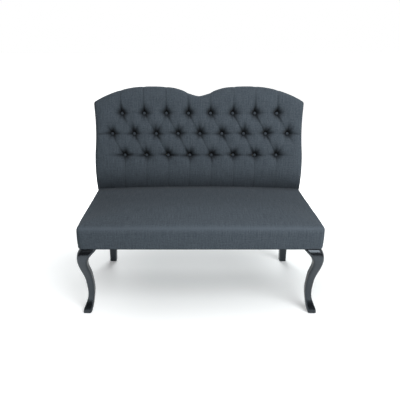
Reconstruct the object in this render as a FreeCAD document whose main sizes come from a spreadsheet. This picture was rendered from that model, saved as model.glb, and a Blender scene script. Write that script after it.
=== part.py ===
import FreeCAD, Part
import math
import os
import re

from FreeCAD import Placement, Rotation, Vector

# A two-seat upholstered bench with a buttoned, double-hump back.
# Millimetres. The front faces -Y, +X is to the right of someone who looks at the front, +Z is up.
# The origin is on the floor under the middle of the bench.

doc = FreeCAD.newDocument("banquette")
sheet = doc.addObject("Spreadsheet::Sheet", "Sizes")

driving = {
    # seat box
    "seat_width": 1220, "seat_front": -343.8, "seat_depth": 524, "seat_bottom": 376,
    "seat_edge": 496, "crown_front": 9, "crown_middle": 19, "crown_rear": 17, "edge_round": 30,
    "side_round_share": 0.8, "band_bulge": 1, "seat_overrun": 150, "notch_gap": 0.5,
    "cover_thick": 1.5, "wadding_thick": 5, "ease": 0.2, "hem_width": 32, "hem_tail": 30,
    "dust_thick": 1, "dust_margin": 16, "dust_tail": 60,
    # seat frame
    "rail_inset": 7, "side_inset": 17, "rail_thick": 28, "rail_height": 60, "rail_base": 378, "rear_rail_gap": 8,
    "side_rail_tail": 70,
    "cross_width": 45, "cross_height": 42, "block_leg": 112, "block_height": 35,
    # seat springing
    "spring_count": 9, "spring_pitch": 120, "spring_wire": 3.8, "spring_turn": 15, "spring_reach": 24,
    "wire_lift": 0.9, "clip_width": 17, "clip_length": 15, "clip_height": 5.6, "clip_grip": 6,
    "felt_base": 445, "felt_thick": 4, "felt_margin": 6, "felt_front": 10, "felt_rear": 20,
    # back frame, in the plane of the raked back
    "back_rake": 8.7, "back_level": 488, "pad_depth": 50, "board_thick": 5,
    "post_thick": 32.5, "post_width": 40, "stile_width": 36, "stile_offset": 226,
    "top_rail_base": 480, "lower_rail_base": 10, "lower_rail_height": 50, "frame_inset": 20,
    "panel_thick": 1.5, "panel_inset": 4, "shelf_gap": 1.5, "pad_round": 26, "post_slack": 0.3, "post_slot_low": -80,
    # back outline: half widths and heights up the raked back
    "base_half": 608, "base_level": -28, "waist_half": 619, "waist_level": 110, "flank_half": 611, "flank_level": 240,
    "pinch_half": 603, "pinch_level": 345, "shoulder_half": 608, "shoulder_level": 490,
    "turn_half": 606, "turn_level": 510, "hump_half": 594, "hump_level": 527, "outer_half": 490, "outer_level": 573,
    "rise_half": 364, "rise_level": 602, "crest_half": 260, "crest_level": 607.5, "fall_half": 156, "fall_level": 601,
    "dip_half": 120, "dip_level": 593, "slope_half": 86, "slope_level": 581, "cusp_half": 44, "cusp_level": 563.5,
    "notch_half": 0, "notch_level": 552,
    # tufting
    "button_pitch": 129, "row_top": 457.6, "row_middle": 342.6, "row_low": 213,
    "button_width": 22, "button_height": 8, "button_rim": 2.5, "button_flat": 3, "button_seat": 34,
    "button_slack": 0.5, "dimple_mouth": 34, "dimple_depth": 24, "pleat_depth": 14, "edge_pleat_depth": 8,
    "tie_width": 2.4, "tie_slack": 0.1, "tie_hole": 6, "toggle_width": 16, "toggle_thick": 2,
    # front legs: level, inset of the centre from the seat corner, width of the section
    "top_level": 375, "top_inset": 51, "top_side": 85, "brow_level": 345, "brow_inset": 31, "brow_side": 72.5,
    "knee_level": 306, "knee_inset": 19.7, "knee_side": 50, "calf_level": 246, "calf_inset": 29, "calf_side": 43.5,
    "shin_level": 196, "shin_inset": 38, "shin_side": 38, "ankle_level": 122, "ankle_inset": 42, "ankle_side": 35,
    "heel_level": 60, "heel_inset": 33.5, "heel_side": 37.5, "toe_level": 15, "toe_inset": 20, "toe_side": 47,
    "sole_level": 3, "sole_inset": 17.5, "sole_side": 44, "leg_rounding": 0.24, "leg_forward": 9,
    # rear legs and glides
    "hip_half": 526, "hip_depth": 498, "hip_side": 52, "hoof_half": 549, "hoof_depth": 531.5, "hoof_side": 42.5,
    "glide_width": 24,
    # fastenings
    "leg_bolt": 8, "leg_bolt_below": 32, "leg_bolt_offset": 9, "washer_width": 17, "washer_thick": 2,
    "thread_spare": 5, "bolt_slack": 1,
    "nut_width": 13, "nut_height": 6.5, "dowel_width": 10, "dowel_length": 50, "dowel_spread": 16,
    "dowel_shift": 4, "dowel_share": 0.28,
    "block_screw": 5, "block_screw_set": 48, "block_screw_spread": 7, "block_screw_bite": 20,
    "block_screw_head": 9, "screw_head_height": 3,
    "post_bolt": 8, "post_bolt_length": 92, "post_bolt_head": 14, "post_bolt_head_height": 6, "barrel_width": 12,
    "barrel_length": 20, "barrel_set": 12, "post_bolt_high": -60, "post_bolt_low": -88,
    "board_screw": 3.5, "board_screw_length": 25, "board_screw_head": 7, "board_screw_head_height": 1.5,
    "staple_crown": 10, "staple_wire": 0.7, "staple_pitch": 48, "staple_set": 6, "staple_clear": 110,
}
for row, (alias, value) in enumerate(driving.items(), start=1):
    sheet.set(f"A{row}", alias)
    sheet.set(f"B{row}", str(value))
    sheet.setAlias(f"B{row}", alias)
doc.recompute()

pieces = []
up = Vector(0, 0, 1)
rearwards = Vector(0, 1, 0)
# Cutting tools reach this far past the work, start this far in front of the pad or overlap by this much.
far = 1000
run_out = 40
proud = 6
overlap = 1
# A quarter turn of a rounded edge is drawn in this many steps.
round_steps = 4


def size(alias):
    return float(sheet.get(alias))


def formula(text):
    return re.sub(r"[a-z_]+", lambda word: "Sizes." + word.group(), text)


def bind(thing, **formulas):
    for name, text in formulas.items():
        thing.setExpression(name, formula(text))


def bind_corner(thing, x, y, z):
    for axis, text in (("x", x), ("y", y), ("z", z)):
        thing.setExpression("Placement.Base." + axis, formula(text))


def keep(thing, label):
    thing.Label = label
    pieces.append(thing)
    return thing


def group(label, solids):
    thing = doc.addObject("Part::Feature", label)
    thing.Shape = Part.makeCompound(solids)
    return keep(thing, label)


back_y = size("seat_front") + size("seat_depth")
back_frame = Placement(Vector(0, back_y, size("back_level")), Rotation(Vector(1, 0, 0), -size("back_rake")))
board_front = size("pad_depth")
frame_front = board_front + size("board_thick")
frame_rear = frame_front + size("post_thick")


def raked(shape):
    moved = shape.copy()
    moved.Placement = back_frame.multiply(moved.Placement)
    return moved


def raked_box(x0, x1, y0, y1, z0, z1):
    return raked(Part.makeBox(x1 - x0, y1 - y0, z1 - z0, Vector(x0, y0, z0)))


def rod(start, direction, length, width):
    return Part.makeCylinder(width / 2, length, start, direction)


def drilled(blank, label, fastenings):
    # A timber with the holes that its dowels, screws and bolts need.
    doc.recompute()
    near = [tool for tool in fastenings if tool.BoundBox.intersect(blank.Shape.BoundBox)]
    if not near:
        return keep(blank, label)
    holes = doc.addObject("Part::Feature", label + "_holes")
    holes.Shape = Part.makeCompound(near)
    cut = doc.addObject("Part::Cut", label)
    cut.Base = blank
    cut.Tool = holes
    return keep(cut, label)


def mirrored(solids):
    return solids + [solid.mirror(Vector(0, 0, 0), Vector(1, 0, 0)) for solid in solids]


# Places shared by the frame and its fastenings.

rail_outer_x = size("seat_width") / 2 - size("side_inset")
rail_inner_x = rail_outer_x - size("rail_thick")
rail_front_y = size("seat_front") + size("rail_inset")
rail_back_of_front = rail_front_y + size("rail_thick")
rear_rail_y = back_y + size("rear_rail_gap")
rail_mid_z = size("rail_base") + size("rail_height") / 2
rail_top_z = size("rail_base") + size("rail_height")
post_inner_x = rail_outer_x - size("post_width")
post_mid_x = rail_outer_x - size("post_width") / 2
frame_mid = (frame_front + frame_rear) / 2
lower_rail_top = size("lower_rail_base") + size("lower_rail_height")


# Fastenings of the frame.

dowel_half = size("dowel_length") / 2
dowel_shift = size("dowel_shift")
rail_mid_x = (rail_outer_x + rail_inner_x) / 2


def dowel(start, direction):
    return rod(start, direction, size("dowel_length"), size("dowel_width"))


dowels = []
for spread in (-size("dowel_spread"), size("dowel_spread")):
    front_joint = Vector(rail_mid_x, rail_back_of_front - dowel_half + dowel_shift, rail_mid_z + spread)
    dowels += mirrored([dowel(front_joint, rearwards)])
rear_joint = Vector(rail_inner_x - dowel_half, rear_rail_y + size("rail_thick") / 2, rail_mid_z)
dowels += mirrored([dowel(rear_joint, Vector(1, 0, 0))])
cross_mid_z = size("rail_base") + size("cross_height") / 2
cross_front = Vector(size("cross_width") / 4, rail_back_of_front - dowel_half + dowel_shift, cross_mid_z)
cross_rear = Vector(size("cross_width") / 4, rear_rail_y - dowel_half - dowel_shift, cross_mid_z)
dowels += mirrored([dowel(joint, rearwards) for joint in (cross_front, cross_rear)])
for joint_x, joint_z in (
    (post_mid_x, size("top_rail_base")),
    (size("stile_offset"), size("top_rail_base")),
    (size("stile_offset"), lower_rail_top),
):
    upright = dowel(Vector(joint_x, frame_mid, joint_z - dowel_half), up)
    dowels += mirrored([raked(upright)])
for share in (size("dowel_share"), 1 - size("dowel_share")):
    height = size("lower_rail_base") + share * size("lower_rail_height")
    level_dowel = dowel(Vector(post_inner_x - dowel_half + dowel_shift, frame_mid, height), Vector(1, 0, 0))
    dowels += mirrored([raked(level_dowel)])
group("frame_dowels", dowels)

bolts = []
barrels = []
for height in (size("post_bolt_high"), size("post_bolt_low")):
    head = Vector(rail_mid_x, frame_rear - size("post_bolt_head_height"), height)
    head_solid = rod(head, rearwards, size("post_bolt_head_height"), size("post_bolt_head"))
    shank = rod(head, -rearwards, size("post_bolt_length"), size("post_bolt"))
    bolt = raked(head_solid.fuse(shank).removeSplitter())
    barrel_y = head.y - size("post_bolt_length") + size("barrel_set")
    barrel_start = Vector(rail_mid_x - size("barrel_length") / 2, barrel_y, height)
    barrel = raked(rod(barrel_start, Vector(1, 0, 0), size("barrel_length"), size("barrel_width")))
    bolts += mirrored([bolt])
    barrels += mirrored([barrel.cut(bolt)])
group("post_bolts", bolts)
group("barrel_nuts", barrels)

# Each corner: its side, the way inwards, the face its block stands against and the place of its leg bolt.
front_bolt_x = rail_inner_x - size("leg_bolt_offset")
front_bolt_y = rail_back_of_front + size("leg_bolt_offset")
rear_bolt_y = size("seat_front") + size("hip_depth")
corner_places = {
    "front_left": (-1, 1, rail_back_of_front, front_bolt_x, front_bolt_y),
    "front_right": (1, 1, rail_back_of_front, front_bolt_x, front_bolt_y),
    "rear_left": (-1, -1, rear_rail_y, size("hip_half"), rear_bolt_y),
    "rear_right": (1, -1, rear_rail_y, size("hip_half"), rear_bolt_y),
}
block_screws = []
leg_bolts = []
leg_washers = []
leg_nuts = []
leg_bolt_room = []
block_top = size("rail_base") + size("block_height")
block_mid_z = size("rail_base") + size("block_height") / 2
nut_base = block_top + size("washer_thick")
bolt_end = nut_base + size("nut_height") + size("thread_spare")
bolt_foot = size("top_level") - size("leg_bolt_below")
nut_corner = size("nut_width") / math.sqrt(3)


def block_screw(start, along, reach):
    shank = rod(start, along, reach + size("block_screw_bite"), size("block_screw"))
    head = rod(start, along, size("screw_head_height"), size("block_screw_head"))
    return shank.fuse(head).removeSplitter()


for side, inward, corner_y, bolt_x, bolt_y in corner_places.values():
    set_in = size("block_screw_set")
    reach = size("block_leg") - set_in
    high = block_mid_z + size("block_screw_spread")
    low = block_mid_z - size("block_screw_spread")
    into_rail = Vector(side * (rail_inner_x - set_in), corner_y + inward * reach, high)
    into_side = Vector(side * (rail_inner_x - reach), corner_y + inward * set_in, low)
    block_screws.append(block_screw(into_rail, Vector(0, -inward, 0), reach))
    block_screws.append(block_screw(into_side, Vector(side, 0, 0), reach))
    axis = Vector(side * bolt_x, bolt_y, 0)
    leg_bolt = rod(axis + up * bolt_foot, up, bolt_end - bolt_foot, size("leg_bolt"))
    washer = rod(axis + up * block_top, up, size("washer_thick"), size("washer_width"))
    hexagon = []
    for corner in range(7):
        angle = math.radians(60 * corner)
        hexagon.append(axis + Vector(nut_corner * math.cos(angle), nut_corner * math.sin(angle), nut_base))
    nut = Part.Face(Part.makePolygon(hexagon)).extrude(up * size("nut_height"))
    leg_bolts.append(leg_bolt)
    leg_bolt_room.append(rod(axis + up * bolt_foot, up, bolt_end - bolt_foot, size("leg_bolt") + size("bolt_slack")))
    leg_washers.append(washer.cut(leg_bolt))
    leg_nuts.append(nut.cut(leg_bolt))
group("leg_bolts", leg_bolts)
group("leg_bolt_washers", leg_washers)
group("leg_bolt_nuts", leg_nuts)
group("corner_block_screws", block_screws)

# Screws that hold the tufting board, by distance from the middle and heights up the back.
board_screw_rows = (
    (post_mid_x, (60, 180, 300, 420)),
    (size("stile_offset"), (150, 280, 400)),
    (113, (35, 510)),
    (395.5, (35, 510)),
)
board_screws = []
for screw_x, heights in board_screw_rows:
    for height in heights:
        start = Vector(screw_x, board_front, height)
        shank = rod(start, rearwards, size("board_screw_length"), size("board_screw"))
        head = rod(start, rearwards, size("board_screw_head_height"), size("board_screw_head"))
        board_screws += mirrored([raked(shank.fuse(head).removeSplitter())])
group("board_screws", board_screws)

frame_fastenings = dowels + bolts + barrels + block_screws + board_screws


# Sketch helpers for the turned-up boards and the legs.


def origin_plane(body, role):
    return next(plane for plane in body.Origin.OriginFeatures if plane.Role == role)


def sketch_on(body, name, role, geometry):
    sketch = body.newObject("Sketcher::SketchObject", name)
    sketch.AttachmentSupport = [(origin_plane(body, role), "")]
    sketch.MapMode = "FlatFace"
    sketch.addGeometry(geometry, False)
    return sketch


def pad_on(body, name, sketch, length, backwards=False):
    pad = body.newObject("PartDesign::Pad", name)
    pad.Profile = sketch
    pad.Reversed = backwards
    bind(pad, Length=length)
    return pad


def flat_polygon(points):
    corners = [Vector(x, y, 0) for x, y in points]
    return [Part.LineSegment(a, b) for a, b in zip(corners, corners[1:] + corners[:1])]


# Seat frame.


def rail(label, length, width, corner):
    blank = doc.addObject("Part::Box", label + "_blank")
    bind(blank, Length=length, Width=width, Height="rail_height")
    bind_corner(blank, *corner)
    return blank


front_blank = rail(
    "front_seat_rail", "seat_width - 2 * side_inset", "rail_thick",
    ("side_inset - seat_width / 2", "seat_front + rail_inset", "rail_base"),
)
doc.recompute()
front_round = doc.addObject("Part::Fillet", "front_seat_rail_rounded")
front_round.Base = front_blank
round_size = size("edge_round") - size("rail_inset")
front_round.Edges = [
    (number, round_size, round_size)
    for number, edge in enumerate(front_blank.Shape.Edges, start=1)
    if edge.BoundBox.ZLength > 1 and edge.BoundBox.YMax < rail_front_y + 1
]
drilled(front_round, "front_seat_rail", frame_fastenings)
rear_blank = rail(
    "rear_seat_rail", "seat_width - 2 * side_inset - 2 * rail_thick", "rail_thick",
    ("side_inset + rail_thick - seat_width / 2", "seat_front + seat_depth + rear_rail_gap", "rail_base"),
)
drilled(rear_blank, "rear_seat_rail", frame_fastenings)

behind_posts = doc.addObject("Part::Feature", "behind_post_fronts")
behind_posts.Shape = raked_box(-far, far, frame_front, far, -far, far)
side_length = "seat_depth + side_rail_tail - rail_inset - rail_thick"
side_corners = {"left": "side_inset - seat_width / 2", "right": "seat_width / 2 - side_inset - rail_thick"}
for side, corner_x in side_corners.items():
    corner = (corner_x, "seat_front + rail_inset + rail_thick", "rail_base")
    long_blank = rail(side + "_seat_rail", "rail_thick", side_length, corner)
    trimmed = doc.addObject("Part::Cut", side + "_seat_rail_trimmed")
    trimmed.Base = long_blank
    trimmed.Tool = behind_posts
    drilled(trimmed, side + "_seat_rail", frame_fastenings)

cross_blank = doc.addObject("Part::Box", "seat_cross_rail_blank")
cross_length = "seat_depth + rear_rail_gap - rail_inset - rail_thick"
bind(cross_blank, Length="cross_width", Width=cross_length, Height="cross_height")
bind_corner(cross_blank, "-cross_width / 2", "seat_front + rail_inset + rail_thick", "rail_base")
drilled(cross_blank, "seat_cross_rail", frame_fastenings)

for name, (side, inward, corner_y, *_) in corner_places.items():
    body = doc.addObject("PartDesign::Body", name + "_block_body")
    corner_x = side * rail_inner_x
    leg = size("block_leg")
    triangle = [(corner_x, corner_y), (corner_x - side * leg, corner_y), (corner_x, corner_y + inward * leg)]
    sketch = sketch_on(body, name + "_block_plan", "XY_Plane", flat_polygon(triangle))
    sketch.setExpression("AttachmentOffset.Base.z", formula("rail_base"))
    pad_on(body, name + "_block_pad", sketch, "block_height")
    drilled(body, name + "_corner_block", block_screws + leg_bolts)


# Back frame: posts sawn with the rake, stiles, rails and the tufting board.


def on_rake(y, z):
    point = back_frame.multVec(Vector(0, y, z))
    return point.y, point.z


def rake_level(y, floor_z):
    # Height up the raked back at which depth y meets a level plane.
    angle = math.radians(size("back_rake"))
    return (floor_z - size("back_level") + y * math.sin(angle)) / math.cos(angle)


post_profile = [
    on_rake(frame_front, rake_level(frame_front, size("rail_base"))),
    on_rake(frame_rear, rake_level(frame_rear, size("rail_base"))),
    on_rake(frame_rear, size("top_rail_base")),
    on_rake(frame_front, size("top_rail_base")),
]
for name, inner_x in (("left_back_post", -rail_outer_x), ("right_back_post", post_inner_x)):
    body = doc.addObject("PartDesign::Body", name + "_body")
    sketch = sketch_on(body, name + "_profile", "YZ_Plane", flat_polygon(post_profile))
    pad_on(body, name + "_pad", sketch, "post_width")
    body.Placement = Placement(Vector(inner_x, 0, 0), Rotation())
    drilled(body, name, frame_fastenings)


def raked_board(label, length, height, x, z):
    blank = doc.addObject("Part::Box", label + "_blank")
    bind(blank, Length=length, Width="post_thick", Height=height)
    blank.Placement = back_frame.multiply(Placement(Vector(x, frame_front, z), Rotation()))
    return drilled(blank, label, frame_fastenings)


raked_board(
    "back_lower_rail", "seat_width - 2 * side_inset - 2 * post_width", "lower_rail_height",
    -post_inner_x, size("lower_rail_base"),
)
for name, middle in (("left_back_stile", -size("stile_offset")), ("right_back_stile", size("stile_offset"))):
    raked_board(
        name, "stile_width", "top_rail_base - lower_rail_base - lower_rail_height",
        middle - size("stile_width") / 2, lower_rail_top,
    )

# The right half of the back's outline, from the seat up the side, over the hump and down to the notch.
# Every second point is the middle of an arc.
outline_names = (
    "base", "waist", "flank", "pinch", "shoulder", "turn", "hump", "outer", "rise", "crest", "fall", "dip", "slope",
    "cusp", "notch",
)
half_outline = [(size(name + "_half"), size(name + "_level")) for name in outline_names]
outline = half_outline + [(-x, z) for x, z in reversed(half_outline[:-1])]


def inset_outline(inset):
    # Each point moves inwards, square to the line between its neighbours.
    moved = [(outline[0][0] - inset, outline[0][1])]
    for before, here, after in zip(outline, outline[1:], outline[2:]):
        run_x, run_z = after[0] - before[0], after[1] - before[1]
        run = math.hypot(run_x, run_z)
        moved.append((here[0] - inset * run_z / run, here[1] + inset * run_x / run))
    moved.append((-moved[0][0], moved[0][1]))
    return moved


def outline_arcs(inset, first=0):
    points = [Vector(x, z, 0) for x, z in inset_outline(inset)]
    points = points[first:len(points) - first]
    return [Part.Arc(*points[k:k + 3]) for k in range(0, len(points) - 2, 2)], points


def hump_board(body, label, inset, base_level, first):
    arcs, points = outline_arcs(inset, first)
    right = Vector(points[0].x, base_level, 0)
    left = Vector(points[-1].x, base_level, 0)
    edges = [Part.LineSegment(right, points[0])] + arcs
    edges += [Part.LineSegment(points[-1], left), Part.LineSegment(left, right)]
    return sketch_on(body, label + "_outline", "XZ_Plane", edges)


hump_point = outline_names.index("hump")
top_rail = doc.addObject("PartDesign::Body", "back_top_rail_body")
rail_sketch = hump_board(top_rail, "back_top_rail", size("frame_inset"), size("top_rail_base"), hump_point)
pad_on(top_rail, "back_top_rail_pad", rail_sketch, "post_thick", backwards=True)
top_rail.Placement = back_frame.multiply(Placement(Vector(0, frame_front, 0), Rotation()))
drilled(top_rail, "back_top_rail", frame_fastenings)

pitch = size("button_pitch")
row_low, row_middle, row_top = size("row_low"), size("row_middle"), size("row_top")
button_places = [((k - 3.5) * pitch, level) for level in (row_top, row_low) for k in range(8)]
button_places += [((k - 4) * pitch, row_middle) for k in range(9)]

board = doc.addObject("PartDesign::Body", "tufting_board_body")
board_sketch = hump_board(board, "tufting_board", size("frame_inset"), size("lower_rail_base"), hump_point)
pad_on(board, "tufting_board_pad", board_sketch, "board_thick", backwards=True)
tie_circles = [Part.Circle(Vector(x, z, 0), up, size("tie_hole") / 2) for x, z in button_places]
hole_sketch = sketch_on(board, "tufting_board_tie_holes", "XZ_Plane", tie_circles)
tie_holes = board.newObject("PartDesign::Pocket", "tufting_board_pocket")
tie_holes.Profile = hole_sketch
tie_holes.Type = "ThroughAll"
tie_holes.Reversed = False
board.Placement = back_frame.multiply(Placement(Vector(0, board_front, 0), Rotation()))
drilled(board, "tufting_board", board_screws)


# Seat springing: zigzag springs from rail to rail, held by clips, under a felt.

wire_z = rail_top_z + size("spring_wire") / 2 + size("wire_lift")
turn = size("spring_turn")
reach = size("spring_reach")
spring_start = rail_front_y + size("rail_thick") / 2
spring_end = rear_rail_y + size("rail_thick") / 2
turns = int((spring_end - spring_start - 4 * turn) / (2 * turn))
turns -= turns % 2
lead_in = (spring_end - spring_start - 2 * turn * turns) / 2


def spring_path():
    # Straight runs across the spring joined by half turns, each drawn as two quarter turns.
    edges = []
    side = 1
    here = Vector(-reach, spring_start, wire_z)
    entry = Vector(-reach, spring_start + lead_in - turn, wire_z)
    edges.append(Part.LineSegment(here, entry))
    bend = turn * math.sqrt(0.5)
    corner = Vector(-reach + turn, entry.y + turn, wire_z)
    edges.append(Part.Arc(entry, Vector(corner.x - bend, entry.y + bend, wire_z), corner))
    for step in range(turns):
        row_y = corner.y + 2 * turn * step
        run_start = Vector(-side * (reach - turn), row_y, wire_z)
        run_end = Vector(side * (reach - turn), row_y, wire_z)
        edges.append(Part.LineSegment(run_start, run_end))
        centre = Vector(run_end.x, row_y + turn, wire_z)
        outer = Vector(centre.x + side * turn, centre.y, wire_z)
        edges.append(Part.Arc(run_end, Vector(centre.x + side * bend, centre.y - bend, wire_z), outer))
        exit_point = Vector(centre.x, centre.y + turn, wire_z)
        if step < turns - 1:
            edges.append(Part.Arc(outer, Vector(centre.x + side * bend, centre.y + bend, wire_z), exit_point))
            side = -side
        else:
            edges.append(Part.LineSegment(outer, Vector(outer.x, spring_end, wire_z)))
    return Part.Wire([edge.toShape() for edge in edges])


path = spring_path()
ring = Part.Circle(path.Vertexes[0].Point, rearwards, size("spring_wire") / 2)
spring = path.makePipeShell([Part.Wire([ring.toShape()])], True, False)
spring_ends = (path.OrderedVertexes[0].Point, path.OrderedVertexes[-1].Point)
spring_count = int(size("spring_count"))
spring_places = [(k - (spring_count - 1) / 2) * size("spring_pitch") for k in range(spring_count)]
springs = []
clips = []
for middle in spring_places:
    moved = spring.copy()
    moved.translate(Vector(middle, 0, 0))
    springs.append(moved)
    for end in spring_ends:
        length = size("clip_length")
        low_y = end.y - (length - size("clip_grip") if end.y < 0 else size("clip_grip"))
        corner = Vector(middle + end.x - size("clip_width") / 2, low_y, rail_top_z)
        clip = Part.makeBox(size("clip_width"), length, size("clip_height"), corner)
        wire_room = rod(Vector(middle + end.x, end.y - length, wire_z), rearwards, 2 * length, size("spring_wire"))
        clips.append(clip.cut(wire_room))
group("seat_springs", springs)
group("spring_clips", clips)

felt = doc.addObject("Part::Box", "spring_felt")
bind(
    felt, Length="seat_width - 2 * side_inset - 2 * felt_margin", Width="seat_depth - felt_front - felt_rear",
    Height="felt_thick",
)
bind_corner(felt, "side_inset + felt_margin - seat_width / 2", "seat_front + felt_front", "felt_base")
keep(felt, "spring_felt")


# Seat upholstery: a crowned box with rounded edges, notched at the rear where the back stands.


def seat_section(y, half, bottom, edge, crown, rounding):
    bend = rounding * (1 - math.sqrt(0.5))
    right = [
        Vector(half, y, bottom),
        Vector(half + size("band_bulge"), y, (bottom + edge) / 2),
        Vector(half, y, edge - rounding),
        Vector(half - bend, y, edge - bend),
        Vector(half - rounding, y, edge),
    ]
    left = [Vector(-point.x, y, point.z) for point in reversed(right)]
    edges = [
        Part.Arc(*right[0:3]), Part.Arc(*right[2:5]), Part.Arc(right[4], Vector(0, y, edge + crown), left[0]),
        Part.Arc(*left[0:3]), Part.Arc(*left[2:5]), Part.LineSegment(left[4], right[0]),
    ]
    return Part.Wire([curve.toShape() for curve in edges])


def seat_block(inset, bottom):
    half = size("seat_width") / 2 - inset
    front = size("seat_front") + inset
    edge = size("seat_edge") - inset
    rounding = size("edge_round") - inset
    side_round = rounding * size("side_round_share")
    sections = []
    for step in range(round_steps + 1):
        angle = math.pi / 2 * step / round_steps
        drawn = rounding * (1 - math.sin(angle))
        y = front + rounding * (1 - math.cos(angle))
        sections.append(seat_section(y, half - drawn, bottom, edge - drawn, size("crown_front"), side_round))
    middle_y = front + size("seat_depth") / 2
    sections.append(seat_section(middle_y, half, bottom, edge, size("crown_middle"), side_round))
    sections.append(seat_section(back_y + size("seat_overrun"), half, bottom, edge, size("crown_rear"), side_round))
    block = Part.makeLoft(sections, True, True)
    notch_front = -size("notch_gap") - inset
    shelf = size("base_level") - size("shelf_gap") - inset
    rear = frame_rear + size("rail_inset") - inset
    return block.cut([
        raked_box(-far, far, notch_front, far, shelf, far),
        raked_box(-far, far, rear, far, -far, far),
    ])


slack = size("post_slack")
post_slots = mirrored([
    raked_box(
        post_inner_x - slack, rail_outer_x + slack, frame_front - slack, frame_rear + slack, size("post_slot_low"), 0,
    ),
])
cover_in = size("cover_thick")
wadding_out = cover_in + size("ease")
wadding_in = wadding_out + size("wadding_thick") - 2 * size("ease")
foam_out = wadding_in + size("ease")

hem = size("hem_width")
hem_opening = Part.makeBox(
    size("seat_width") - 2 * hem, size("seat_depth") + size("hem_tail") - hem, 2 * run_out,
    Vector(hem - size("seat_width") / 2, size("seat_front") + hem, size("seat_bottom") - run_out),
)
seat_cover = seat_block(0, size("seat_bottom")).cut(seat_block(cover_in, size("seat_bottom") + cover_in))
group("seat_cover", seat_cover.cut([hem_opening] + post_slots + leg_bolt_room).Solids)
seat_wadding = seat_block(wadding_out, size("rail_base")).cut(seat_block(wadding_in, size("rail_base") - run_out))
group("seat_wadding", seat_wadding.cut(post_slots).Solids)
foam_base = size("felt_base") + size("felt_thick") + size("ease")
# The foam lies on the felt and hangs down outside the side rails.
rail_room = rail_outer_x + size("ease")
below_foam = Part.makeBox(2 * rail_room, 2 * far, far, Vector(-rail_room, -far, foam_base - far))
group("seat_foam", seat_block(foam_out, size("rail_base")).cut(below_foam).Solids)


# Back upholstery: a pad with rounded edges, cut by the pleats and the button dimples.


def ruled_pad(inset, rear):
    rounding = size("pad_round") - inset
    levels = []
    for step in range(round_steps, -1, -1):
        angle = math.pi / 2 * step / round_steps
        levels.append((inset + rounding * (1 - math.sin(angle)), inset + rounding * (1 - math.cos(angle))))
    levels.append((rear, inset))
    wires = []
    for depth, drawn in levels:
        arcs, points = outline_arcs(drawn)
        floor_line = Part.LineSegment(points[-1], points[0])
        flat = Part.Wire([curve.toShape() for curve in arcs + [floor_line]])
        flat.rotate(Vector(0, 0, 0), Vector(1, 0, 0), 90)
        flat.translate(Vector(0, depth, 0))
        wires.append(flat)
    return Part.makeLoft(wires, True, True)


def pleat(start, end, depth, inset):
    # A straight V-shaped channel along the pad's face.
    deep = depth + inset * math.sqrt(2)
    run = Vector(end[0] - start[0], 0, end[1] - start[1])
    across = Vector(run.z, 0, -run.x).normalize() * (deep + proud)
    tip = Vector(start[0], deep, start[1])
    mouth = Vector(start[0], -proud, start[1])
    section = Part.makePolygon([tip, mouth + across, mouth - across, tip])
    return Part.Face(section).extrude(run)


def dimple(x, z, inset):
    mouth = size("dimple_mouth")
    deep = size("dimple_depth")
    recess = size("button_width") / 2 + size("button_slack")
    slope = (mouth - recess) / deep
    ease_out = inset * math.sqrt(1 + slope * slope)
    wide, narrow = mouth + proud * slope + ease_out, recess + ease_out
    funnel = Part.makeCone(wide, narrow, deep + proud, Vector(x, -proud, z), rearwards)
    well_length = size("button_seat") + inset - deep + overlap
    well = rod(Vector(x, deep - overlap, z), rearwards, well_length, 2 * narrow)
    tie_room = rod(Vector(x, deep, z), rearwards, frame_rear, size("tie_width") + 2 * size("tie_slack"))
    return funnel.fuse([well, tie_room])


pleat_lines = []
for k in range(8):
    x = (k - 3.5) * pitch
    for neighbour in (x - pitch / 2, x + pitch / 2):
        pleat_lines.append(((x, row_top), (neighbour, row_middle), size("pleat_depth")))
        pleat_lines.append(((x, row_low), (neighbour, row_middle), size("pleat_depth")))
    pleat_lines.append(((x, row_top), (x, size("crest_level") + run_out), size("edge_pleat_depth")))
    pleat_lines.append(((x, row_low), (x, size("base_level") - run_out), size("edge_pleat_depth")))
side_end = size("waist_half") + run_out
for side in (-1, 1):
    pleat_lines.append(((side * 4 * pitch, row_middle), (side * side_end, row_middle), size("edge_pleat_depth")))


def tufted_pad(inset, rear):
    tools = [pleat(start, end, depth, inset) for start, end, depth in pleat_lines]
    tools += [dimple(x, z, inset) for x, z in button_places]
    return ruled_pad(inset, rear).cut(tools)


# Room in the foam for the frame: up the posts, in to the top rail and over its humps.
frame_arcs, frame_points = outline_arcs(size("frame_inset") - slack, hump_point)
cavity_low = size("base_level") - run_out
cavity_half = rail_outer_x + slack
cavity_step = size("top_rail_base") + slack
right_corners = [(cavity_half, cavity_low), (cavity_half, cavity_step), (frame_points[0].x, cavity_step)]
right_side = [Vector(x, z, 0) for x, z in right_corners] + [frame_points[0]]
left_side = [Vector(-point.x, point.y, 0) for point in reversed(right_side)]
cavity_edges = [Part.LineSegment(a, b) for a, b in zip(right_side, right_side[1:])] + frame_arcs
cavity_edges += [Part.LineSegment(a, b) for a, b in zip(left_side, left_side[1:])]
cavity_edges.append(Part.LineSegment(left_side[-1], right_side[0]))
cavity_wire = Part.Wire([curve.toShape() for curve in cavity_edges])
cavity_wire.rotate(Vector(0, 0, 0), Vector(1, 0, 0), 90)
cavity_wire.translate(rearwards * (board_front - slack))
cavity = Part.Face(cavity_wire).extrude(rearwards * far)

back_cover = tufted_pad(0, frame_rear).cut(tufted_pad(cover_in, frame_rear + run_out))
group("back_cover", [raked(solid) for solid in back_cover.Solids])
back_wadding = tufted_pad(wadding_out, frame_rear).cut(tufted_pad(wadding_in, frame_rear + run_out))
group("back_wadding", [raked(solid) for solid in back_wadding.Solids])
back_foam = tufted_pad(foam_out, frame_rear).cut(cavity)
group("back_foam", [raked(solid) for solid in back_foam.Solids])

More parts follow.
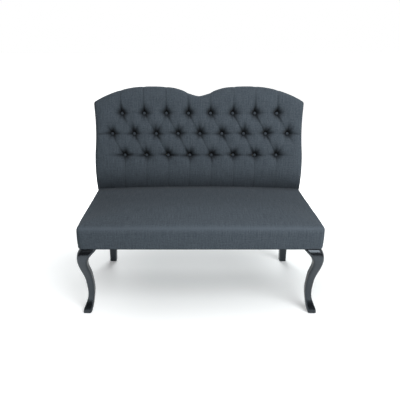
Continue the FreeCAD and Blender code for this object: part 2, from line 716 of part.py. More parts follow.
panel = doc.addObject("PartDesign::Body", "back_panel_body")
panel_arcs, panel_points = outline_arcs(size("panel_inset"))
panel_edges = panel_arcs + [Part.LineSegment(panel_points[-1], panel_points[0])]
panel_sketch = sketch_on(panel, "back_panel_outline", "XZ_Plane", panel_edges)
pad_on(panel, "back_panel_pad", panel_sketch, "panel_thick", backwards=True)
panel.Placement = back_frame.multiply(Placement(Vector(0, frame_rear, 0), Rotation()))
keep(panel, "outside_back_panel")


# Buttons, their ties and the toggles behind the board.

# A button is a rim under a part of a sphere with a small flat on top.
button_half = size("button_width") / 2
button_flat = size("button_flat") / 2
rim_y = size("button_seat") - size("button_rim")
flat_y = size("button_seat") - size("button_height")
rise = rim_y - flat_y
sphere_below_rim = (button_half ** 2 - button_flat ** 2 - rise ** 2) / (2 * rise)
sphere_radius = math.hypot(button_half, sphere_below_rim)
sphere_y = rim_y + sphere_below_rim
half_angle = (math.asin(button_half / sphere_radius) + math.asin(button_flat / sphere_radius)) / 2
buttons = []
ties = []
toggles = []
rim_start = Vector(0, size("button_seat"), 0)
rim_edge = Vector(button_half, size("button_seat"), 0)
rim_top = Vector(button_half, rim_y, 0)
dome_middle = Vector(sphere_radius * math.sin(half_angle), sphere_y - sphere_radius * math.cos(half_angle), 0)
flat_edge = Vector(button_flat, flat_y, 0)
flat_middle = Vector(0, flat_y, 0)
button_face = Part.Face(Part.Wire([
    Part.makeLine(rim_start, rim_edge), Part.makeLine(rim_edge, rim_top),
    Part.Arc(rim_top, dome_middle, flat_edge).toShape(), Part.makeLine(flat_edge, flat_middle),
    Part.makeLine(flat_middle, rim_start),
]))
button = button_face.revolve(Vector(0, 0, 0), rearwards, 360)
for x, z in button_places:
    place = Vector(x, 0, z)
    moved = button.copy()
    moved.translate(place)
    buttons.append(raked(moved))
    start = Vector(x, size("button_seat"), z)
    tie_length = frame_front + size("toggle_thick") - size("button_seat")
    tie = rod(start, rearwards, tie_length, size("tie_width"))
    toggle = rod(Vector(x, frame_front, z), rearwards, size("toggle_thick"), size("toggle_width"))
    ties.append(raked(tie))
    toggles.append(raked(toggle.cut(tie)))
group("tuft_buttons", buttons)
group("button_ties", ties)
group("tie_toggles", toggles)


# Legs: the front pair curves out at the knee and the toe along the corner's diagonal.

stations = ("sole", "toe", "heel", "ankle", "shin", "calf", "knee", "brow", "top")


def rounded_square(body, name, side, x, y, z):
    # A square with rounded corners about the sketch's own centre, which is bound to the sheet.
    half = size(side) / 2
    radius = size(side) * size("leg_rounding")
    flat = half - radius
    geometry = []
    for quarter in range(4):
        turn_by = Rotation(up, 90 * quarter)
        start = turn_by.multVec(Vector(-flat, -half, 0))
        end = turn_by.multVec(Vector(flat, -half, 0))
        middle = turn_by.multVec(Vector(flat + radius * math.sqrt(0.5), -flat - radius * math.sqrt(0.5), 0))
        corner_end = turn_by.multVec(Vector(half, -flat, 0))
        geometry.append(Part.LineSegment(start, end))
        geometry.append(Part.Arc(end, middle, corner_end))
    sketch = sketch_on(body, name, "XY_Plane", geometry)
    for axis, text in (("x", x), ("y", y), ("z", z)):
        sketch.setExpression("AttachmentOffset.Base." + axis, formula(text))
    return sketch


def lofted_leg(label, sections, leg_fastenings):
    body = doc.addObject("PartDesign::Body", label + "_body")
    sketches = [rounded_square(body, f"{label}_{name}", *places) for name, places in sections]
    loft = body.newObject("PartDesign::AdditiveLoft", label + "_loft")
    loft.Profile = sketches[0]
    loft.Sections = sketches[1:]
    loft.Ruled = len(sketches) == 2
    return drilled(body, label, leg_fastenings)


for name, sign in (("front_left_leg", "-"), ("front_right_leg", "+")):
    sections = [
        (station, (
            station + "_side",
            f"{sign}(seat_width / 2 - {station}_inset)",
            f"seat_front - leg_forward + {station}_inset",
            station + "_level",
        ))
        for station in stations
    ]
    lofted_leg(name, sections, leg_bolts)
for name, sign in (("rear_left_leg", "-"), ("rear_right_leg", "+")):
    sections = [
        ("hoof", ("hoof_side", f"{sign}hoof_half", "seat_front + hoof_depth", "sole_level")),
        ("hip", ("hip_side", f"{sign}hip_half", "seat_front + hip_depth", "top_level")),
    ]
    lofted_leg(name, sections, leg_bolts)

glide_places = {
    "front_left_glide": ("-(seat_width / 2 - sole_inset)", "seat_front - leg_forward + sole_inset"),
    "front_right_glide": ("seat_width / 2 - sole_inset", "seat_front - leg_forward + sole_inset"),
    "rear_left_glide": ("-hoof_half", "seat_front + hoof_depth"),
    "rear_right_glide": ("hoof_half", "seat_front + hoof_depth"),
}
for name, (x, y) in glide_places.items():
    glide = doc.addObject("Part::Cylinder", name + "_disc")
    bind(glide, Radius="glide_width / 2", Height="sole_level")
    bind_corner(glide, x, y, "0")
    keep(glide, name)


# Dust cover under the frame and the staples along its edge.

dust = doc.addObject("Part::Box", "dust_cover_sheet")
bind(
    dust, Length="seat_width - 2 * dust_margin", Width="seat_depth + dust_tail - 2 * dust_margin",
    Height="dust_thick",
)
bind_corner(dust, "dust_margin - seat_width / 2", "seat_front + dust_margin", "seat_bottom - dust_thick")
drilled(dust, "dust_cover", leg_bolts)

staple_z = size("seat_bottom") - size("dust_thick") - size("staple_wire")
staple_inset = size("dust_margin") + size("staple_set")
staple_x = size("seat_width") / 2 - staple_inset
staple_front = size("seat_front") + staple_inset
staple_rear = back_y + size("dust_tail") - staple_inset
clear_of_leg = size("staple_clear")
staples = []
crown, wire = size("staple_crown"), size("staple_wire")
across_count = int((2 * staple_x - 2 * clear_of_leg) / size("staple_pitch"))
for k in range(across_count + 1):
    x = -staple_x + clear_of_leg + k * (2 * staple_x - 2 * clear_of_leg) / across_count
    for y in (staple_front, staple_rear):
        staples.append(Part.makeBox(crown, wire, wire, Vector(x - crown / 2, y, staple_z)))
along_count = int((staple_rear - staple_front - 2 * clear_of_leg) / size("staple_pitch"))
for k in range(along_count + 1):
    y = staple_front + clear_of_leg + k * (staple_rear - staple_front - 2 * clear_of_leg) / along_count
    for x in (-staple_x, staple_x):
        staples.append(Part.makeBox(wire, crown, wire, Vector(x, y - crown / 2, staple_z)))
group("dust_cover_staples", staples)


doc.recompute()
failed = [thing.Name for thing in doc.Objects if "Invalid" in thing.State or "Error" in thing.State]
assert not failed, failed
for piece in pieces:
    assert not piece.Shape.isNull() and piece.Shape.isValid(), piece.Label
    assert piece.Shape.Solids, piece.Label

os.makedirs("parts", exist_ok=True)
whole = FreeCAD.BoundBox()
for piece in pieces:
    piece.Shape.exportStep(f"parts/{piece.Label}.step")
    whole.add(piece.Shape.BoundBox)
    print(f"{piece.Label}: {len(piece.Shape.Solids)} solids, {piece.Shape.Volume / 1000:.1f} cm3")
print("box", [round(v, 1) for v in (whole.XMin, whole.XMax, whole.YMin, whole.YMax, whole.ZMin, whole.ZMax)])
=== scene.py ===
import math

import bpy
import numpy as np
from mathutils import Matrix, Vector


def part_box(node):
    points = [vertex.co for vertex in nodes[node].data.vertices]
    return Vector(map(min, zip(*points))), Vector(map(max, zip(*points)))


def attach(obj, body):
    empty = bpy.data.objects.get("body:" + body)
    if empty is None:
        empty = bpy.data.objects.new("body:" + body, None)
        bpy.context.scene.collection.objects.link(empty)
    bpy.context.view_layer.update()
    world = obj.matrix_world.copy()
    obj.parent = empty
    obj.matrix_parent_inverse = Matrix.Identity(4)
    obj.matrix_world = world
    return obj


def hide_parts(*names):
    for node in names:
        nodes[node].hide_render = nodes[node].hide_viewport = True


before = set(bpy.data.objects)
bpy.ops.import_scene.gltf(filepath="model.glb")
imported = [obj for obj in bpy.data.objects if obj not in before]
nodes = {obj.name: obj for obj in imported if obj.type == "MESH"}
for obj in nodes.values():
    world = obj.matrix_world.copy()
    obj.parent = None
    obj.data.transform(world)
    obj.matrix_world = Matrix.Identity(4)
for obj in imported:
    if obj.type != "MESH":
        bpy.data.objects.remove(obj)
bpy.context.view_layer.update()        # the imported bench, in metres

scene = bpy.context.scene
mm = 0.001
rng = np.random.default_rng(11)
print("frame loaded:", len(nodes), "nodes")


# helpers

def linearColour(hexCode):  # sRGB hex to linear RGBA
    parts = np.array([int(hexCode[k:k + 2], 16) for k in (1, 3, 5)]) / 255
    curve = np.where(parts <= 0.04045, parts / 12.92, ((parts + 0.055) / 1.055) ** 2.4)
    return (*curve.tolist(), 1.0)


def addNode(tree, kind, settings=None, links=None):  # settings by socket or attribute name, links by socket
    node = tree.nodes.new(kind)
    for key, value in (settings or {}).items():
        if isinstance(key, int) or key in node.inputs:
            node.inputs[key].default_value = value
        else:
            setattr(node, key, value)
    for key, source in (links or {}).items():
        tree.links.new(source, node.inputs[key])
    return node


def newMaterial(name, **sockets):  # a Principled material with its constant sockets set
    material = bpy.data.materials.new(name)
    material.use_nodes = True
    tree = material.node_tree
    shader = tree.nodes["Principled BSDF"]
    for key, value in sockets.items():
        shader.inputs[key.replace("_", " ")].default_value = value
    return material, tree, shader


def smoothStep(low, high, value):  # 0 at low, 1 at high, cubic between
    t = np.clip((value - low) / (high - low), 0, 1)
    return t * t * (3 - 2 * t)


def quadGrid(index):  # the quads of a 2-D array of point numbers
    return np.stack([index[:-1, :-1], index[:-1, 1:], index[1:, 1:], index[1:, :-1]], -1).reshape(-1, 4)


def makePiece(name, points, faces, material, cloth, paintedLight=None):
    # points in mm; cloth: place of each face corner on the flat cloth, mm;
    # last argument: painted shade from 0 to 1 where the cloth is sunk, folded or in shadow, below 0 a painted highlight
    mesh = bpy.data.meshes.new(name)
    mesh.from_pydata((points * mm).tolist(), [], faces)
    mesh.uv_layers.new(name="cloth").data.foreach_set("uv", (cloth * mm).ravel())
    if paintedLight is not None:
        mesh.attributes.new("paintedLight", "FLOAT", "POINT").data.foreach_set("value", paintedLight.astype(np.float32))
    mesh.polygons.foreach_set("use_smooth", np.ones(len(mesh.polygons), bool))
    mesh.materials.append(material)
    mesh.update()
    piece = bpy.data.objects.new(name, mesh)
    scene.collection.objects.link(piece)
    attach(piece, "root")
    return piece


def gentleNoise(x, z, size, count, height):  # sum of plane waves of about one length, seeded
    total = np.zeros_like(x)
    for angle, phase, stretch in rng.uniform((0, 0, 0.7), (math.pi, 2 * math.pi, 1.4), (count, 3)):
        total += np.sin((x * math.cos(angle) + z * math.sin(angle)) * 2 * math.pi / (size * stretch) + phase)
    return total * height / math.sqrt(count / 2)


clothRun = {"quality": 3, "mass": 0.3, "frames": 20, "cap": 22}   # steps a frame, kg, frames and mm


def swelling(points, faces, held, feel):
    # Cloth with air pressure inside: how far each point moves, in mm; held points stay, none passes the cap
    mesh = bpy.data.meshes.new("trial_cloth")
    mesh.from_pydata((points * mm).tolist(), [], faces)
    trial = bpy.data.objects.new("trial_cloth", mesh)
    scene.collection.objects.link(trial)
    trial.vertex_groups.new(name="held").add(np.flatnonzero(held).tolist(), 1.0, "REPLACE")
    cloth = trial.modifiers.new("cloth", "CLOTH")
    cloth.settings.quality, cloth.settings.mass = clothRun["quality"], clothRun["mass"]
    cloth.settings.tension_stiffness = cloth.settings.compression_stiffness = feel["stretch"]
    cloth.settings.shear_stiffness, cloth.settings.bending_stiffness = feel["shear"], feel["bend"]
    cloth.settings.use_pressure, cloth.settings.uniform_pressure_force = True, feel["pressure"]
    cloth.settings.vertex_group_mass, cloth.settings.effector_weights.gravity = "held", 0
    cloth.collision_settings.use_collision = cloth.collision_settings.use_self_collision = False
    for moment in range(1, clothRun["frames"] + 1):
        scene.frame_set(moment)
    settled = np.empty(points.size, np.float32)
    trial.evaluated_get(bpy.context.evaluated_depsgraph_get()).data.vertices.foreach_get("co", settled)
    scene.frame_set(1)
    bpy.data.objects.remove(trial)
    bpy.data.meshes.remove(mesh)
    shift = settled.reshape(-1, 3) / mm - points
    length = np.linalg.norm(shift, axis=1, keepdims=True)
    print(f"  cloth moved {length.max():.1f} mm at most, {length.mean():.1f} mm on average")
    return shift * np.minimum(1, clothRun["cap"] / np.maximum(length, 1e-6))


# materials

linenLook = {
    # the third colour is painted shade, the fourth a painted highlight
    "dark": "#3F474F", "light": "#586169", "shade": "#0C0F12", "paintedHighlight": "#6A747E",
    "roughness": 0.94, "sheen": 0.06, "sheenRoughness": 0.5, "gloss": 0.1,
    "thread": 2.2,                                 # mm, drawn about 3 times as coarse as real so that it shows
    "slubWidth": 5, "slubLength": 70, "melange": 8,                # mm
    "weft": 0.36, "mottle": 0.45, "contrast": (0.34, 0.66),        # shares in the mix, and the noise that is kept
    "bump": 0.3, "relief": 0.6,
}


def linenMaterial(name):
    # plain-weave slub linen: matt, with faint streaks of thick and thin yarn; painted shade darkens it in folds and
    # hollows, a painted highlight pales the seat's top edges
    look = linenLook
    material, tree, shader = newMaterial(
        name, Roughness=look["roughness"], IOR=1.45, Sheen_Weight=look["sheen"],
        Sheen_Roughness=look["sheenRoughness"], Specular_IOR_Level=look["gloss"],
    )
    place = addNode(tree, "ShaderNodeUVMap", {"uv_map": "cloth"}).outputs[0]
    width, length = (1 / (look[key] * mm) for key in ("slubWidth", "slubLength"))
    yarns = []
    for scale in ((width, length, 1), (length, width, 1)):
        spread = addNode(tree, "ShaderNodeMapping", {"Scale": scale}, {0: place}).outputs[0]
        slub = {"Scale": 1, "Detail": 2, "Roughness": 0.6}
        yarns.append(addNode(tree, "ShaderNodeTexNoise", slub, {0: spread}).outputs[0])
    both = addNode(tree, "ShaderNodeMix", {0: look["weft"]}, {2: yarns[0], 3: yarns[1]}).outputs[0]
    blotch = {"Scale": 1 / (look["melange"] * mm), "Detail": 3, "Roughness": 0.7}
    melange = addNode(tree, "ShaderNodeTexNoise", blotch, {0: place}).outputs[0]
    mottled = addNode(tree, "ShaderNodeMix", {0: look["mottle"]}, {2: both, 3: melange}).outputs[0]
    span = dict(zip(("From Min", "From Max"), look["contrast"]))
    tone = addNode(tree, "ShaderNodeMapRange", span, {0: mottled}).outputs[0]
    colours = {"data_type": "RGBA", 6: linearColour(look["dark"]), 7: linearColour(look["light"])}
    dyed = addNode(tree, "ShaderNodeMix", colours, {0: tone}).outputs[2]
    # painted shade from the attribute darkens the cloth in hollows, its negative part is a painted highlight that pales
    # it
    paintedLightFac = addNode(tree, "ShaderNodeAttribute", {"attribute_name": "paintedLight"}).outputs["Fac"]
    colours = {"data_type": "RGBA", 7: linearColour(look["shade"])}
    shaded = addNode(tree, "ShaderNodeMix", colours, {0: paintedLightFac, 6: dyed}).outputs[2]
    turned = {"operation": "MULTIPLY", 1: -1.0, "use_clamp": True}
    highlightShare = addNode(tree, "ShaderNodeMath", turned, {0: paintedLightFac}).outputs[0]
    colours = {"data_type": "RGBA", 7: linearColour(look["paintedHighlight"])}
    highlighted = addNode(tree, "ShaderNodeMix", colours, {0: highlightShare, 6: shaded}).outputs[2]
    tree.links.new(highlighted, shader.inputs["Base Color"])
    threads = []
    for axis in ("X", "Y"):
        wave = {"bands_direction": axis, "Scale": math.pi / 10 / (look["thread"] * mm), "Distortion": 1.2, "Detail": 1}
        threads.append(addNode(tree, "ShaderNodeTexWave", wave, {0: place}).outputs[1])
    weave = addNode(tree, "ShaderNodeMath", {"operation": "MULTIPLY"}, {0: threads[0], 1: threads[1]}).outputs[0]
    height = addNode(tree, "ShaderNodeMath", {"operation": "ADD"}, {0: weave, 1: both}).outputs[0]
    depth = {"Strength": look["bump"], "Distance": look["relief"] * mm}
    bump = addNode(tree, "ShaderNodeBump", depth, {"Height": height}).outputs[0]
    tree.links.new(bump, shader.inputs["Normal"])
    return material


def streakedMaterial(name, look, stretch, **sockets):
    # two tones mixed by a noise drawn out along the grain (stretch in mm), with a fine relief from the same noise
    material, tree, shader = newMaterial(name, **sockets)
    place = addNode(tree, "ShaderNodeTexCoord").outputs["Object"]
    scale = tuple(1 / (size * mm) for size in stretch)
    spread = addNode(tree, "ShaderNodeMapping", {"Scale": scale}, {0: place}).outputs[0]
    grain = addNode(tree, "ShaderNodeTexNoise", {"Scale": 1, "Detail": 4, "Roughness": 0.62}, {0: spread}).outputs[0]
    tone = addNode(tree, "ShaderNodeMapRange", {"From Min": 0.32, "From Max": 0.68}, {0: grain}).outputs[0]
    colours = {"data_type": "RGBA", 6: linearColour(look["dark"]), 7: linearColour(look["light"])}
    dyed = addNode(tree, "ShaderNodeMix", colours, {0: tone}).outputs[2]
    tree.links.new(dyed, shader.inputs["Base Color"])
    span = dict(zip(("To Min", "To Max"), look["roughness"]))
    rough = addNode(tree, "ShaderNodeMapRange", span, {0: tone}).outputs[0]
    tree.links.new(rough, shader.inputs["Roughness"])
    depth = {"Strength": look["bump"], "Distance": look["relief"] * mm}
    bump = addNode(tree, "ShaderNodeBump", depth, {"Height": grain}).outputs[0]
    tree.links.new(bump, shader.inputs["Normal"])
    return material


# each finish: two tones, roughness range, strength of the bump and relief in mm
lacquerLook = {"dark": "#06070A", "light": "#0B0D11", "roughness": (0.2, 0.28), "bump": 0.06, "relief": 0.1}
beechLook = {"dark": "#B98A5E", "light": "#D9B48A", "roughness": (0.5, 0.66), "bump": 0.25, "relief": 0.2}
birchLook = {"dark": "#C9A877", "light": "#E2CBA0", "roughness": (0.5, 0.62), "bump": 0.2, "relief": 0.15}
feltLook = {"dark": "#5A554F", "light": "#77726B", "roughness": (0.94, 1.0), "bump": 0.7, "relief": 0.8}
dustLook = {"dark": "#161616", "light": "#232323", "roughness": (0.86, 0.95), "bump": 0.4, "relief": 0.2}
twineLook = {"dark": "#A8966C", "light": "#CBBB90", "roughness": (0.75, 0.9), "bump": 0.8, "relief": 0.4}
springLook = {"dark": "#4A4A4D", "light": "#68686B", "roughness": (0.3, 0.45), "bump": 0.1, "relief": 0.05}
zincLook = {"dark": "#A9A9A5", "light": "#C9C9C4", "roughness": (0.25, 0.38), "bump": 0.1, "relief": 0.05}
nylonLook = {"dark": "#101011", "light": "#19191B", "roughness": (0.45, 0.58), "bump": 0.15, "relief": 0.05}

slateLinen = linenMaterial("slate_slub_linen")
# sprayed black lacquer, rubbed to a satin: dark, mirrors the floor softly with a bluish tint
blackLacquer = streakedMaterial(
    "black_satin_lacquer", lacquerLook, (6, 6, 60), IOR=1.5, Specular_IOR_Level=0.68,
    Specular_Tint=linearColour("#E4F2FF"),
)
# planed beech, bare: pale pinkish brown with long grain; one for each run of the grain
bareBeech = [
    streakedMaterial("planed_beech_" + run, beechLook, stretch, IOR=1.5, Specular_IOR_Level=0.35)
    for run, stretch in (("across", (140, 5, 5)), ("front_to_rear", (5, 140, 5)), ("upright", (5, 5, 140)))
]
# sanded birch plywood: paler and yellower than the beech, fine grain across
birchPly = streakedMaterial("sanded_birch_plywood", birchLook, (120, 6, 6), IOR=1.5, Specular_IOR_Level=0.35)
# needled felt: dull grey-brown, matted all ways
springFelt = streakedMaterial("needled_spring_felt", feltLook, (4, 4, 4), IOR=1.45, Specular_IOR_Level=0.1)
# non-woven polypropylene: black, dull, faintly flecked
dustCloth = streakedMaterial("black_nonwoven_dust_cloth", dustLook, (2.5, 2.5, 2.5), IOR=1.45, Specular_IOR_Level=0.2)
# waxed flax twine: straw brown, with the lay of its strands
waxedTwine = streakedMaterial("waxed_buttoning_twine", twineLook, (1.2, 3, 1.2), IOR=1.45, Specular_IOR_Level=0.3)
# oil-tempered wire: dark grey steel; bright zinc plate: light grey steel; moulded nylon: black with a soft sheen
temperedWire = streakedMaterial("oil_tempered_spring_wire", springLook, (8, 8, 8), Metallic=1.0)
brightZinc = streakedMaterial("bright_zinc_plated_steel", zincLook, (3, 3, 3), Metallic=1.0)
blackNylon = streakedMaterial("moulded_black_nylon", nylonLook, (1.5, 1.5, 1.5), IOR=1.53)
finishes = {  # foam and wadding are hidden under the new pieces and share the felt
    "slate_linen": slateLinen, "black_lacquer": blackLacquer, "birch_plywood": birchPly, "foam": springFelt,
    "wadding": springFelt, "felt": springFelt, "dust_cloth": dustCloth, "twine": waxedTwine,
    "spring_steel": temperedWire, "zinc_steel": brightZinc, "nylon": blackNylon,
}
for name, node in nodes.items():
    slotName = node.data.materials[0].name.split(".")[0]
    longest = int(np.argmax(np.subtract(*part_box(name)[::-1])))
    node.data.materials[0] = finishes.get(slotName, bareBeech[longest])
print("materials:", len(finishes) + len(bareBeech))


# the tufted back, worked out in the plane of the raked back: x across, y to the rear, z up the back, mm

backPad = {
    "rake": 8.7, "foot": (180.2, 488.0),          # degrees, and y and z of the plane's origin
    "low": -28, "tall": 590, "rear": 87.5, "roll": 28,
    "fine": {"cell": 2.7, "rollSteps": 9, "wallSteps": 10},
    "trial": {"cell": 14, "rollSteps": 4, "wallSteps": 3},
    "halfOutline": [
        (609, -28), (620.5, 110), (615.5, 240), (607, 345), (609.5, 506), (608, 517), (601, 525), (490, 575.5),
        (364, 604.5), (260, 608.5), (156, 602.5), (120, 594.5), (86, 583), (44, 564.5), (0, 554),
    ],
    "corner": 5, "arcSteps": 60,                  # outline point where side and top meet, points on each arc
    "scallop": 1.6, "scallopReach": 9,
    "tuck": 20, "tuckHeight": 165, "tuckCurve": 1.6,   # how far the foot of the pad draws back, and up to what height
    "bow": 1.5, "bowReach": 90, "rim": 20,        # hollows fade out over the rim
    "ripple": (75, 14, 0.5),                      # length in mm, number of waves, height in mm
    "footShade": 0.62, "footSpan": (10, 160), "footCurve": 0.6,    # painted shade, darker towards the seat
    "heldButton": 15, "heldRim": 6, "heldFoot": 8,     # held in the simulation: round buttons, at the rim, up the foot
    "clothMiddle": (0, 250),
    "feel": {"pressure": 4, "stretch": 25, "shear": 8, "bend": 1.5},
}
tufting = {
    "pitch": 129, "top": 456.5, "middle": 339.0, "low": 212.0,
    "shift": (3.5, 6.5, 11),                      # the rows step a little to the right
    "crater": 27, "craterFloor": 10.5, "craterWall": 12.5, "craterCurve": 1.15, "halo": 9, "haloReach": 40,
    "spike": 1.2, "spikeTaper": 40, "spikeStart": (4, 20),
    # painted shade in each crater: strength, floor, reach, rise above the button and fall
    "shade": 0.98, "shadeFloor": 8, "shadeReach": 16, "shadeRise": 5, "shadeCurve": 1.5,
    "farOut": 640,                                # past the outline, where pleats and side folds end
    "clearLeast": 0.5, "clearSpan": (-450, 150),  # the painted shade on the sharp folds' lines is stronger on the right
}
# shape of a fold, in widths of its steep side, with the powers of its fall
foldShape = {"curve": 1.2, "lipAt": 3.2, "lipWidth": 2.2, "lineWidth": 1.4, "lineCurve": 1.5}
# each kind of fold: depth, painted shade along its line, width of its steep and gentle side, raised lip
foldKinds = {
    "sharp": {"depth": 2.6, "dark": 0.75, "widths": (1.9, 6.5, 0.3)},
    "soft": {"depth": 2.0, "dark": 0.0, "widths": (11, 11, 0.0)},
    "hang": {"depth": 3.0, "dark": 0.3, "widths": (1.8, 12, 0.2)},
    "rise": {"depth": 2.4, "dark": 0.3, "widths": (1.8, 12, 0.2)},
    "level": {"depth": 3.2, "dark": 0.55, "widths": (1.8, 9, 0.2)},
    "side": {"depth": 3.2, "dark": 0.5, "widths": (1.8, 8, 0.2)},
}
rakeCos, rakeSin = math.cos(math.radians(backPad["rake"])), math.sin(math.radians(backPad["rake"]))
pitch = tufting["pitch"]
rowTop, rowMiddle, rowLow = (tufting[name] for name in ("top", "middle", "low"))
# the star of creases at a button: angle in degrees and weight, by row
rowStars = {
    rowTop: ((90, 1.0), (0, 0.3), (180, 0.3), (-61, 0.8), (-119, 0.3), (270, 0.3)),
    rowMiddle: ((90, 0.8), (0, 0.7), (180, 0.6), (-61, 0.8), (119, 0.5), (61, 0.4), (-119, 0.3)),
    rowLow: ((90, 0.7), (0, 1.0), (180, 0.9), (119, 0.7), (61, 0.4), (270, 0.6)),
}
rowCounts = {rowTop: 8, rowMiddle: 9, rowLow: 8}
rowPlaces = {
    level: (np.arange(count) - (count - 1) / 2) * pitch + step
    for (level, count), step in zip(rowCounts.items(), tufting["shift"])
}
buttonPlaces = [(bx, level) for level, row in rowPlaces.items() for bx in row]
pleatLeans = rng.uniform(-5, 5, 8)
starWobbles = rng.uniform((-7, 0.5), (7, 1.35), (len(buttonPlaces), 7, 2))   # turn in degrees and share of each crease


def raked(x, y, z):  # plane of the back to the bench's frame
    footY, footZ = backPad["foot"]
    return np.stack([x, footY + y * rakeCos + z * rakeSin, footZ - y * rakeSin + z * rakeCos], -1)


def arcThrough(a, b, c, count):  # count points of the circle arc from a through b to c
    a, b, c = np.array(a, float), np.array(b, float), np.array(c, float)
    sides = np.array([b - a, c - a])
    turn = 2 * (sides[0, 0] * sides[1, 1] - sides[0, 1] * sides[1, 0])
    squares = (sides ** 2).sum(1)
    centre = a + np.array([
        sides[1, 1] * squares[0] - sides[0, 1] * squares[1], sides[0, 0] * squares[1] - sides[1, 0] * squares[0],
    ]) / turn
    angles = np.unwrap([math.atan2(*(point - centre)[::-1]) for point in (a, b, c)])
    swept = np.linspace(angles[0], angles[2], count)
    return centre + np.hypot(*(a - centre)) * np.stack([np.cos(swept), np.sin(swept)], 1)


halfPoints = backPad["halfOutline"]
arcs = [arcThrough(*halfPoints[k:k + 3], backPad["arcSteps"])[:-1] for k in range(0, len(halfPoints) - 2, 2)]
outline = np.concatenate(arcs + [halfPoints[-1:]])
cornerX, cornerZ = halfPoints[backPad["corner"]]
split = int(np.argmin(np.hypot(outline[:, 0] - cornerX, outline[:, 1] - cornerZ)))
sideCurve, topCurve = outline[:split + 1], outline[split:][::-1]


def sideHalf(z):  # half the width at a level, read off the outline
    return np.interp(z, sideCurve[:, 1], sideCurve[:, 0])


def topLevel(x):  # the double hump, drawn in a little at each pleat
    level = np.interp(np.abs(x), topCurve[:, 0], topCurve[:, 1])
    for bx in rowPlaces[rowTop] + pleatLeans:
        level = level - backPad["scallop"] * np.exp(-((x - bx) / backPad["scallopReach"]) ** 2)
    return level


def edgeSpaced(length, cell, roll, steps):  # 0 to 1 along a length, even cells with finer steps on the rolled edges
    inEdge = roll * (1 - np.sin(np.linspace(math.pi / 2, 0, steps + 1)))
    middle = np.linspace(roll, length - roll, int((length - 2 * roll) / cell) + 1)
    return np.concatenate([inEdge[:-1], middle, length - inEdge[::-1][1:]]) / length


def foldLine(x, z, start, end, steep, gentle, lip):
    # groove along start-end, an exponential of the distance: steep on the side to the right of its run, gentle on
    # the left, 1 at its bottom; the lip stands up beside the steep side, and the line, for painted shade, marks the
    # bottom only
    shape = foldShape
    run = np.array(end, float) - np.array(start, float)
    length = np.hypot(*run)
    run /= length
    along = ((x - start[0]) * run[0] + (z - start[1]) * run[1]) / length
    across = (z - start[1]) * run[0] - (x - start[0]) * run[1]
    reach = np.where(across > 0, gentle, steep)
    groove = np.exp(-(np.abs(across) / reach) ** shape["curve"])
    groove -= lip * np.exp(-((across + shape["lipAt"] * steep) / (shape["lipWidth"] * steep)) ** 2)
    line = np.exp(-(np.abs(across) / (shape["lineWidth"] * steep)) ** shape["lineCurve"])
    return groove, line, along


def buttonHollows(x, z):
    # a crater at each button whose wall runs out along the star of creases, in a wide shallow halo
    tuft = tufting
    deep, shade = np.zeros_like(x), np.zeros_like(x)
    for (bx, bz), wobbles in zip(buttonPlaces, starWobbles):
        away = np.hypot(x - bx, z - bz)
        angle = np.arctan2(z - bz, x - bx)
        star = sum(
            weight * share * np.clip(np.cos(angle - math.radians(lobe + turn)), 0, 1) ** tuft["spikeTaper"]
            for (lobe, weight), (turn, share) in zip(rowStars[bz], wobbles)
        )
        reach = 1 + tuft["spike"] * star * smoothStep(*tuft["spikeStart"], away)
        beyond = np.maximum(away - tuft["craterFloor"], 0)
        deep += tuft["crater"] * np.exp(-(beyond / (tuft["craterWall"] * reach)) ** tuft["craterCurve"])
        deep += tuft["halo"] * np.exp(-(away / tuft["haloReach"]) ** 2)
        # painted shade in each crater, centred a little above the button
        beyond = np.maximum(np.hypot(x - bx, z - bz - tuft["shadeRise"]) - tuft["shadeFloor"], 0)
        shade = np.maximum(shade, np.exp(-(beyond / (tuft["shadeReach"] * reach)) ** tuft["shadeCurve"]))
    return deep, tuft["shade"] * shade


def spanned(along, fade, least, power):  # strength of a fold held at both ends: 1 at the buttons, least midway
    held = smoothStep(-0.02, fade, along) * smoothStep(1.02, 1 - fade, along)
    return held * (least + (1 - least) * (2 * along - 1) ** power)


def pleated(along):  # strength of a pleat: full by its button, half at its far end
    return smoothStep(0.0, 0.08, along) * (1 - 0.5 * np.clip(along, 0, 1))


def runOut(along):  # strength of a side fold: rises beside its button and stays
    return smoothStep(0.0, 0.1, along)


def runShort(along):  # the same, but faded out past the middle
    return runOut(along) * smoothStep(0.6, 0.1, along)


